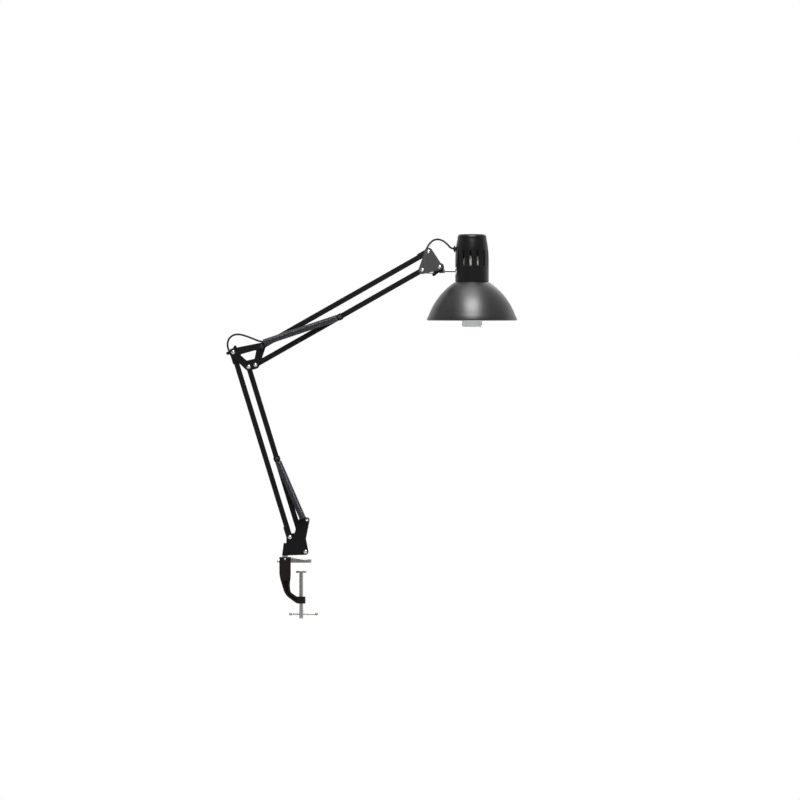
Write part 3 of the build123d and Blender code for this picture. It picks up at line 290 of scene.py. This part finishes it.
def frosted_lamp():
    """Etched glass with a white coat inside: even, milky and a little cool, and light shines through it."""
    material, tree, shader, place = start("frosted_lamp_glass")
    # The etch is drawn 1.1 mm wide, coarser than the real one.
    etch = add(tree, "ShaderNodeTexNoise", {"Scale": 900.0, "Detail": 2.0}, {"Vector": place})
    tone = add(tree, "ShaderNodeMix", {"data_type": "RGBA", 6: linear("#e2e6e6"), 7: linear("#ecefee")},
               {0: etch.outputs["Fac"]})
    shader.inputs["Roughness"].default_value = 0.6
    shader.inputs["IOR"].default_value = 1.2
    shader.inputs["Transmission Weight"].default_value = 0.5
    tree.links.new(tone.outputs[2], shader.inputs["Base Color"])
    return material


POWDER = black_powder_coat("black_powder_coat", "#080808", "#0d0d0e", 0.42)
# The head bracket's grey faces are a painted sheen.
POWDER_PAINTED_SHEEN = powder_coat_painted_sheen()
ENAMEL = shade_enamel()
REFLECTOR = reflector_white()
CASTING = clamp_casting()
# A rougher copy of the zinc plate, painted darker: the darker colour is painted shade on the jaw, pad, bar
# and rod.
DULL_ZINC_PAINTED_SHADE = bright_plate("dull_zinc_plate_painted_shade", "#7c7c79", "#a0a09c", 0.34, (400.0, 400.0, 2500.0))
ZINC = bright_plate("bright_zinc_plate", "#a2a29f", "#c4c4c0", 0.26, (400.0, 400.0, 2500.0))
NICKEL = bright_plate("nickel_plate", "#b4b4b2", "#d0d0ce", 0.18, (1500.0, 400.0, 1500.0))
SPRING = spring_wire()
HOUSING_ABS = moulded_plastic("black_abs_semi_gloss", "#070708", "#0b0b0c", 0.34, 0.24, 1600.0, 0.06)
KNOB_ABS = moulded_plastic("black_abs_matt", "#0a0a0b", "#101011", 0.45, 0.25, 1400.0, 0.1)
HOLDER_WHITE = moulded_plastic("white_thermoplastic", "#e2e1dc", "#eeede9", 0.4, 0.5, 1500.0, 0.05)
SHEATH = moulded_plastic("black_pvc_sheath", "#0a0a0a", "#101011", 0.5, 0.25, 900.0, 0.06)
RUBBER = moulded_plastic("black_grommet_rubber", "#0a0a0a", "#101010", 0.65, 0.2, 1200.0, 0.1)
NYLON = moulded_plastic("black_nylon", "#141415", "#1b1b1c", 0.5, 0.3, 1500.0, 0.05)
LAMP_METAL = bright_plate("rolled_lamp_cap", "#b5b5b3", "#cfcfcc", 0.28, (400.0, 400.0, 2500.0))
LAMP = frosted_lamp()


def clear():
    """Nothing selected, in object mode."""
    if bpy.context.object and bpy.context.object.mode != "OBJECT":
        bpy.ops.object.mode_set(mode="OBJECT")
    bpy.ops.object.select_all(action="DESELECT")


def pick(obj):
    """Only this object selected, and active."""
    clear()
    obj.select_set(True)
    bpy.context.view_layer.objects.active = obj


def applied(obj, kind, **settings):
    """One modifier, set and applied."""
    pick(obj)
    modifier = obj.modifiers.new(kind.lower(), kind)
    for name, value in settings.items():
        setattr(modifier, name, value)
    bpy.ops.object.modifier_apply(modifier=modifier.name)


def moved(obj, to, turn=(0, 0, 0)):
    """Turn an object, set it at a place in millimetres and put both into its mesh."""
    pick(obj)
    obj.rotation_euler = turn
    obj.location = Vector(to) * MM
    bpy.ops.object.transform_apply(location=True, rotation=True, scale=True)


def dressed(obj, name, body, material, slot, *nodes):
    """Name a finished piece, give it its finish and hang it on its body in place of its solids."""
    obj.name = name
    obj.data.name = name
    if material:
        obj.data.materials.clear()
        obj.data.materials.append(material)
    if body:
        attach(obj, body)
    if nodes:
        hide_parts(*nodes)


def smooth(obj, degrees=35):
    """Soft shading across shallow edges."""
    pick(obj)
    bpy.ops.object.shade_smooth_by_angle(angle=radians(degrees))


def arc(first, middle, last, steps):
    """Points on the circle through three (radius, height) points, the first left out."""
    (ax, ay), (bx, by), (cx, cy) = first, middle, last
    d = 2 * (ax * (by - cy) + bx * (cy - ay) + cx * (ay - by))
    a2, b2, c2 = ax * ax + ay * ay, bx * bx + by * by, cx * cx + cy * cy
    ox = (a2 * (by - cy) + b2 * (cy - ay) + c2 * (ay - by)) / d
    oy = (a2 * (cx - bx) + b2 * (ax - cx) + c2 * (bx - ax)) / d
    low, high = atan2(ay - oy, ax - ox), atan2(cy - oy, cx - ox)
    radius = hypot(ax - ox, ay - oy)
    turns = [low + (high - low) * i / steps for i in range(1, steps + 1)]
    return [(ox + radius * cos(t), oy + radius * sin(t)) for t in turns]


def turned(rings, segments=96):
    """Lathe work round Z: a circle drawn out from ring to ring, each (radius, height) in millimetres."""
    clear()
    radius, height = rings[0]
    bpy.ops.mesh.primitive_circle_add(vertices=segments, radius=radius * MM, location=(0, 0, height * MM))
    obj = bpy.context.object
    bpy.ops.object.transform_apply(location=True, rotation=True, scale=True)
    bpy.ops.object.mode_set(mode="EDIT")
    bpy.ops.mesh.select_all(action="SELECT")
    for (r0, z0), (r1, z1) in zip(rings, rings[1:]):
        bpy.ops.mesh.extrude_region_move(TRANSFORM_OT_translate={"value": (0, 0, (z1 - z0) * MM)})
        bpy.ops.transform.resize(value=(r1 / r0, r1 / r0, 1), center_override=(0, 0, z1 * MM))
    bpy.ops.mesh.select_all(action="SELECT")
    bpy.ops.mesh.remove_doubles(threshold=1e-6)
    bpy.ops.mesh.normals_make_consistent(inside=False)
    bpy.ops.object.mode_set(mode="OBJECT")
    return obj


def shade():
    """Spun bell with a flat top round the lampholder, a short skirt and a turned-in hem; white inside."""
    shoulder = arc((30.2, 0), (59, -25), (81, -62.6), 26)
    hem = [(84.95, -70.9), (84.97, -71.7), (84.75, -72.5), (84.2, -73.2), (83.5, -73.5)]
    rings = [(19.5, 0), (24, 0), (29.2, 0), (30.2, -0.15)] + shoulder + hem
    shell = turned(rings, 144)
    shell.data.materials.append(ENAMEL)
    shell.data.materials.append(REFLECTOR)
    applied(shell, "SOLIDIFY", thickness=SHADE_WALL * MM, offset=-1, use_even_offset=True, material_offset=1)
    moved(shell, (HEAD_X, 0, HEAD_Z))
    smooth(shell, 40)
    dressed(shell, "shade_spun", "head", None, "black_paint", "shade")


def lamp_bulb():
    """Frosted stick lamp with a round-edged flat end."""
    edge = arc((15.25, -85.7), (17.72, -84.68), (18.75, -82.2), 6)
    rings = [(0.4, -85.75), (8, -85.75), (15.25, -85.7)] + edge
    rings += [(18.75, -52), (18.75, -21), (17.8, -17), (14, 1.9)]
    glass = turned(rings, 64)
    bpy.ops.object.mode_set(mode="EDIT")
    bpy.ops.mesh.select_all(action="SELECT")
    bpy.ops.mesh.region_to_loop()
    bpy.ops.mesh.fill_holes(sides=0)
    bpy.ops.mesh.select_all(action="SELECT")
    bpy.ops.mesh.normals_make_consistent(inside=False)
    bpy.ops.object.mode_set(mode="OBJECT")
    moved(glass, (HEAD_X, 0, HEAD_Z))
    smooth(glass, 40)
    dressed(glass, "lamp_frosted", "head", LAMP, "frosted_glass", "lamp_bulb")


def coil(length, pitch):
    """Wound wire along Z from the origin, with its wire's section drawn round the axis by a screw."""
    clear()
    bpy.ops.mesh.primitive_circle_add(vertices=8, radius=SPRING_WIRE / 2 * MM, rotation=(pi / 2, 0, 0),
                                      location=(SPRING_WINDING_R * MM, 0, 0))
    wire = bpy.context.object
    bpy.ops.object.transform_apply(location=True, rotation=True, scale=True)
    rounds = round(length / pitch) + 0.5
    steps = round(18 * rounds)
    applied(wire, "SCREW", axis="Z", angle=2 * pi * rounds, screw_offset=length * MM, iterations=1,
            steps=steps, render_steps=steps, use_merge_vertices=False, use_normal_calculate=True)
    return wire


def wire_run(points, radius, order=3, resolution=8):
    """Round wire or sheath along a smooth line, control points in millimetres, made a mesh."""
    clear()
    curve = bpy.data.curves.new("run", "CURVE")
    curve.dimensions = "3D"
    curve.bevel_depth = radius * MM
    curve.bevel_resolution = 4
    curve.use_fill_caps = True
    line = curve.splines.new("NURBS")
    line.points.add(len(points) - 1)
    for knot, at in zip(line.points, points):
        knot.co = (*(Vector(at) * MM), 1)
    line.order_u = order
    line.use_endpoint_u = True
    line.resolution_u = resolution
    run = bpy.data.objects.new("run", curve)
    bpy.context.scene.collection.objects.link(run)
    pick(run)
    bpy.ops.object.convert(target="MESH")
    return bpy.context.object


def joined(first, *others):
    """Several meshes made one."""
    clear()
    for obj in others:
        obj.select_set(True)
    first.select_set(True)
    bpy.context.view_layer.objects.active = first
    bpy.ops.object.join()
    return first


def tail_points(edge, coil_end, inward):
    """Bend of a spring's wire from its last coil into the line between the anchors."""
    return [(edge, 0, coil_end), (edge, -1.0, coil_end - inward * 0.4),
            (edge / 2, -0.9, coil_end - inward * 1.2), (0, 0, coil_end - inward * 2.2)]


def eye_points(pin_r, pin_at, inward):
    """A wire's turn round a pin."""
    # The smooth line cuts inside its points by about 4%.
    eye = (pin_r + EYE_PLAY + SPRING_WIRE / 2) * 1.04
    turns = [radians(angle) for angle in range(0, 346, 45)]
    return [(eye * sin(turn), 0, pin_at + inward * eye * cos(turn)) for turn in turns]


def tension_spring(name, low, high, side, hooked, node):
    """Close-wound spring between its two anchors."""
    way = high - low
    span = way.length
    length = span - 2 * SPRING_TAIL
    lean = atan(SPRING_RIM / length)
    first = span / 2 - length / 2 * cos(lean)
    start_x = -SPRING_RIM / 2 - length / 2 * sin(lean)
    end_x = -SPRING_RIM / 2 + length / 2 * sin(lean)
    body = coil(length, SPRING_PITCH)
    moved(body, (start_x, 0, first), (0, lean, 0))
    start_tail = tail_points(start_x + SPRING_WINDING_R, first, 1)
    if hooked:
        reach = SPRING_Y - HOOK_END_Y
        start_tail += [(0, 0, 0.9), (0, -side * 0.4, -0.2), (0, -side * 3.0, -0.2), (0, -side * reach, 0)]
    else:
        start_tail += eye_points(ANCHOR_PIN_R, 0, 1)
    end_tail = tail_points(end_x - SPRING_WINDING_R, span - first, -1) + eye_points(CLIP_PIN_R, span, -1)
    spring = joined(body, wire_run(start_tail, SPRING_WIRE / 2), wire_run(end_tail, SPRING_WIRE / 2))
    moved(spring, (low.x, side * SPRING_Y, low.z), (0, atan2(way.x, way.z), 0))
    smooth(spring, 60)
    dressed(spring, name, None, SPRING, "spring_steel", node)
    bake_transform(spring)


def trimmed(obj, at, normal, keep_after):
    """Cut a copy of a lead's mesh by a plane and keep one end."""
    pick(obj)
    bpy.ops.object.duplicate()
    part = bpy.context.object
    bpy.ops.object.mode_set(mode="EDIT")
    bpy.ops.mesh.select_all(action="SELECT")
    bpy.ops.mesh.bisect(plane_co=Vector(at) * MM, plane_no=normal, clear_inner=keep_after,
                        clear_outer=not keep_after, use_fill=True)
    bpy.ops.object.mode_set(mode="OBJECT")
    return part


def sheath_piece(part, name, node):
    """One length of lead, smoothed and given its sheath."""
    smooth(part, 60)
    dressed(part, name, None, SHEATH, "lead", node)
    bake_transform(part)


def along(pivot, way, out, places):
    """Points at distances along an arm and out from its axis."""
    return [pivot + way * run + out * rise for run, rise in places]


def free(pivot, points):
    """Free points of a lead, measured from a pivot."""
    return [pivot + Vector((x, 0, z)) for x, z in points]


def elbow_lead():
    """Loop of lead from the lower tube over the elbow into the upper tube."""
    route = along(P1, LOWER_WAY, LOWER_OUT, ((-10, 4.2), (3, 6.8)))
    route += free(P1, ((-11.2, 12.8), (-9.2, 24.3), (-1.0, 32.3), (10.5, 34.3), (24.0, 30.6), (37.0, 25.7)))
    route += along(P4, UPPER_WAY, UPPER_OUT, ((3, 8.4), (15, 1.7)))
    loop = wire_run(route, LEAD_R, resolution=10)
    crown = route[5]
    rear = trimmed(loop, crown, (1, 0, 0), False)
    front = trimmed(loop, crown, (1, 0, 0), True)
    bpy.data.objects.remove(loop)
    sheath_piece(rear, "elbow_loop_rear", "elbow_lead_loop")
    sheath_piece(front, "elbow_loop_front", "elbow_lead_loop")


def head_lead():
    """Loop of lead from the upper tube over the tilt joint into the housing's grommet."""
    grommet = Vector((HEAD_X - GROMMET_REACH, 0, HEAD_Z + GROMMET_HEIGHT))
    route = along(H2, UPPER_WAY, UPPER_OUT, ((-15, 1.2), (-4.5, 4.3)))
    route += free(H2, ((-0.2, 12.8), (6.9, 21.0), (16.0, 24.0), (25.9, 21.6), (35.4, 14.2)))
    route += [grommet + Vector((-8.5, 0, 0)), grommet]
    # The loop leans away from the front, so that it passes beside the grommet when the head tips back.
    for point, lean in zip(route[2:8], (5.0, 8.5, 6.0, 1.5, -2.0, -1.0)):
        point.y = lean
    loop = wire_run(route, LEAD_R, resolution=10)
    rear_cut, rear_way = (route[2] + route[3]) / 2, route[3] - route[2]
    front_cut, front_way = (route[5] + route[6]) / 2, route[6] - route[5]
    rear = trimmed(loop, rear_cut, rear_way, False)
    rest = trimmed(loop, rear_cut, rear_way, True)
    middle = trimmed(rest, front_cut, front_way, False)
    front = trimmed(rest, front_cut, front_way, True)
    bpy.data.objects.remove(loop)
    bpy.data.objects.remove(rest)
    sheath_piece(rear, "head_loop_rear", "head_lead_loop")
    sheath_piece(middle, "head_loop_middle", "head_lead_loop")
    sheath_piece(front, "head_loop_front", "head_lead_loop")


def clamp_screw():
    """Clamp screw with its rolled thread, its tip in the pad and a plain end round the bar."""
    top, bottom = SPINDLE_TOP, SPINDLE_TOP - SPINDLE_LENGTH
    plain = bottom + SPINDLE_PLAIN_END
    rings = [(0.3, bottom), (2.6, bottom), (3.3, bottom + 0.8), (SPINDLE_R, bottom + 1.2), (SPINDLE_R, plain),
             (THREAD_ROOT_R, plain + 0.6), (THREAD_ROOT_R, top - 1.0), (SPINDLE_TIP_R, top - 0.6),
             (SPINDLE_TIP_R, top + 1.9), (0.3, top + 1.9)]
    core = turned(rings, 48)
    clear()
    bpy.ops.mesh.primitive_circle_add(vertices=4, radius=0.5 * MM, rotation=(pi / 2, pi / 4, 0),
                                      location=((THREAD_ROOT_R + 0.1) * MM, 0, 0))
    ridge = bpy.context.object
    ridge.scale = (1.1, 1.05, 1)
    bpy.ops.object.transform_apply(location=True, rotation=True, scale=True)
    applied(ridge, "SCREW", axis="Z", angle=2 * pi, screw_offset=THREAD_PITCH * MM, iterations=THREAD_TURNS,
            steps=32, render_steps=32, use_normal_calculate=True)
    moved(ridge, (0, 0, plain + 1.2))
    screw = joined(core, ridge)
    smooth(screw, 30)
    dressed(screw, "clamp_screw_threaded", "spindle", ZINC, "zinc", "clamp_spindle")


FINISHES = {
    CASTING: ("clamp_frame",),
    DULL_ZINC_PAINTED_SHADE: ("upper_jaw", "pressure_pad", "tommy_bar", "swivel_rod"),
    ZINC: ("jaw_screws", "spigot_set_screw", "clamp_spindle", "swivel_spigot", "rod_nut"),
    POWDER: ("base_bracket", "lower_rear_tube", "lower_front_tube", "lower_spring_clip", "elbow_plate_near",
             "elbow_plate_far", "upper_top_tube", "upper_bottom_tube", "upper_spring_clip", "tilt_block"),
    POWDER_PAINTED_SHEEN: ("head_bracket",),
    NICKEL: ("base_rivets", "elbow_bolt", "elbow_rivets", "head_rivets", "tilt_bolt", "rod_lock_nut",
             "swivel_bush"),
    SPRING: ("lower_spring_pin", "upper_spring_pin", "spring_anchor_pin", "lower_spring_near",
             "lower_spring_far", "upper_spring_near", "upper_spring_far"),
    NYLON: ("base_washers", "elbow_washers", "head_washers"),
    KNOB_ABS: ("elbow_knob", "tilt_lever", "lower_lead_outlets", "upper_lead_outlets", "switch_body",
               "rocker"),
    HOUSING_ABS: ("housing", "top_cap"),
    SHEATH: ("lower_tube_lead", "upper_tube_lead", "lampholder_lead", "elbow_lead_loop", "head_lead_loop"),
    RUBBER: ("lead_grommet",),
    HOLDER_WHITE: ("lampholder", "shade_ring"),
    LAMP_METAL: ("lamp_cap",),
    LAMP: ("lamp_bulb",),
    ENAMEL: ("shade",),
}
for finish, names in FINISHES.items():
    for name in names:
        NODES[name].data.materials.clear()
        NODES[name].data.materials.append(finish)


def camera():
    """Very long lens, level, square on to the arms."""
    data = bpy.data.cameras.new("camera")
    data.sensor_width = 36
    data.lens = CAMERA_LENS
    eye = bpy.data.objects.new("camera", data)
    eye.location = CAMERA_AT
    eye.rotation_euler = (pi / 2, 0, 0)
    data.clip_end = 200
    bpy.context.scene.collection.objects.link(eye)
    bpy.context.scene.camera = eye


def softbox(name, at, aim, size, watts):
    """Square studio light."""
    data = bpy.data.lights.new(name, "AREA")
    data.size = size
    data.energy = watts
    lamp = bpy.data.objects.new(name, data)
    lamp.location = at
    lamp.rotation_euler = (Vector(aim) - Vector(at)).to_track_quat("-Z", "Y").to_euler()
    bpy.context.scene.collection.objects.link(lamp)


def seen_rays(tree):
    """One for the rays that show the background: straight to the viewer, mirrored or through glass."""
    rays = add(tree, "ShaderNodeLightPath")
    sharp = add(tree, "ShaderNodeMath", {"operation": "MAXIMUM"},
                {0: rays.outputs["Is Camera Ray"], 1: rays.outputs["Is Transmission Ray"]})
    seen = add(tree, "ShaderNodeMath", {"operation": "MAXIMUM"},
               {0: sharp.outputs[0], 1: rays.outputs["Is Glossy Ray"]})
    return seen.outputs[0]


def paper_floor():
    """White paper well below the clamp."""
    clear()
    bpy.ops.mesh.primitive_plane_add(size=FLOOR_SIZE, location=(0, 0, FLOOR_Z))
    floor = bpy.context.object
    floor.name = "floor"
    paper = bpy.data.materials.new("white_paper_floor")
    paper.use_nodes = True
    tree = paper.node_tree
    shader = tree.nodes["Principled BSDF"]
    shader.inputs["Base Color"].default_value = linear("#f4f4f4")
    shader.inputs["Roughness"].default_value = 0.9
    # White away from the lamp; near it the paper keeps part of its own shade, and so the lamp's shadow.
    place = add(tree, "ShaderNodeTexCoord").outputs["Object"]
    away = add(tree, "ShaderNodeVectorMath", {"operation": "LENGTH"}, {0: place})
    lift = add(tree, "ShaderNodeMapRange", {"From Min": 1.0, "From Max": 5.0, "To Min": 0.55, "To Max": 1.0},
               {"Value": away.outputs["Value"]})
    share = add(tree, "ShaderNodeMath", {"operation": "MULTIPLY"},
                {0: seen_rays(tree), 1: lift.outputs["Result"]})
    glow = add(tree, "ShaderNodeEmission", {"Color": linear("#ffffff"), "Strength": 1.0})
    mix = add(tree, "ShaderNodeMixShader", {}, {"Fac": share.outputs[0], 1: shader.outputs["BSDF"],
                                                2: glow.outputs["Emission"]})
    tree.links.new(mix.outputs["Shader"], tree.nodes["Material Output"].inputs["Surface"])
    floor.data.materials.append(paper)


def white_room():
    """White surroundings, darker behind the viewer."""
    world = bpy.data.worlds.new("studio")
    world.use_nodes = True
    bpy.context.scene.world = world
    tree = world.node_tree
    tree.nodes.clear()
    # Mirrored, the room is white behind the lamp and dark behind the viewer, so that flat blacks stay black.
    way = add(tree, "ShaderNodeTexCoord").outputs["Generated"]
    aim = add(tree, "ShaderNodeSeparateXYZ", {}, {"Vector": way})
    room = add(tree, "ShaderNodeMapRange", {"From Min": -1.0, "From Max": 0.9, "To Min": 0.1, "To Max": 1.0},
               {"Value": aim.outputs["Y"]})
    rays = add(tree, "ShaderNodeLightPath")
    plain = add(tree, "ShaderNodeMapRange", {"To Min": 0.3, "To Max": 1.0}, {"Value": seen_rays(tree)})
    level = add(tree, "ShaderNodeMix", {"data_type": "FLOAT"},
                {0: rays.outputs["Is Glossy Ray"], 2: plain.outputs["Result"], 3: room.outputs["Result"]})
    sky = add(tree, "ShaderNodeBackground", {"Color": linear("#ffffff")}, {"Strength": level.outputs[0]})
    add(tree, "ShaderNodeOutputWorld", {}, {"Surface": sky.outputs["Background"]})


def studio():
    """Floor, room and soft light from the front and above."""
    paper_floor()
    white_room()
    softbox("key", (0.32, -1.2, 2.19), (0.32, 0, 0.48), 1.0, 68)
    softbox("front", (0.33, -1.75, 1.55), (0.32, 0, 0.55), 0.35, 5.5)
    softbox("right", (1.7, 0.9, 0.4), (0.1, 0, 0.1), 1.2, 2)
    softbox("top", (0.2, -0.3, 2.3), (0.2, 0, 0.4), 1.2, 16)
    softbox("back", (0.5, 1.6, 1.7), (0.1, 0, 0.3), 1.4, 8)
    bpy.context.scene.view_settings.view_transform = "Standard"


camera()
elbow_lead()
head_lead()
shade()
lamp_bulb()
for side, where in ((-1, "near"), (1, "far")):
    tension_spring(f"lower_coil_{where}", EAR, LOWER_CLIP, side, True,
                   f"lower_spring_{where}")
    tension_spring(f"upper_coil_{where}", P4, UPPER_CLIP, side, False,
                   f"upper_spring_{where}")
clamp_screw()
studio()
